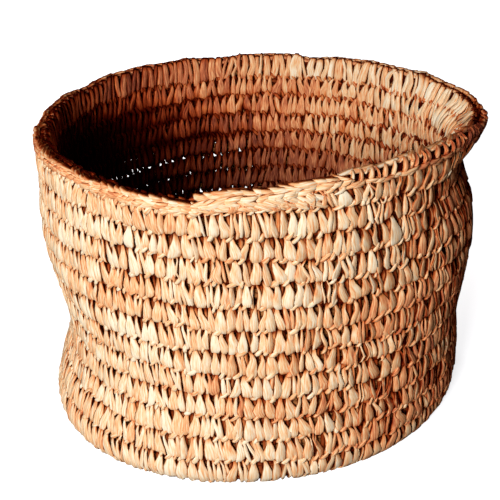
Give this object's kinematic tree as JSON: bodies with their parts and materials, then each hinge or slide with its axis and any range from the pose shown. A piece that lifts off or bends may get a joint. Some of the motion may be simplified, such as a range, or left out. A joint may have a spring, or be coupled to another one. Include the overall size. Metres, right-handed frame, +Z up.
{
  "type": "jute raffia basket",
  "caption": "Round open basket crocheted in raffia over a jute cord, with a flat spiral base, a soft slumped wall and a braided rim.",
  "frame": {"origin": "middle of the base on the surface that the basket stands on, on the axis of the spiral", "axes": "+Z up out of the opening, -Y towards the viewer of the picture, +X to the right"},
  "size_m": [0.3069, 0.3025, 0.2041],
  "materials": {
    "raffia": "satin folded raffia strands in single crochet, cream to orange tan with red-brown shadows",
    "raffia_braid": "satin raffia chain stitches, slanted links along the rim",
    "jute_core": "matt twisted jute cord"
  },
  "bodies": {
    "root": {"start_knot": "raffia_braid", "base_course_01": "raffia", "base_course_02": "raffia", "base_course_03": "raffia", "base_course_04": "raffia", "base_course_05": "raffia", "base_course_06": "raffia", "base_course_07": "raffia", "base_course_08": "raffia", "base_course_09": "raffia", "wall_course_01": "raffia", "wall_course_02": "raffia", "wall_course_03": "raffia", "wall_course_04": "raffia", "wall_course_05": "raffia", "wall_course_06": "raffia", "wall_course_07": "raffia", "wall_course_08": "raffia", "wall_course_09": "raffia", "wall_course_10": "raffia", "wall_course_11": "raffia", "wall_course_12": "raffia", "jute_cord": "jute_core", "rim_braid": "raffia_braid"}
  },
  "joints": []
}
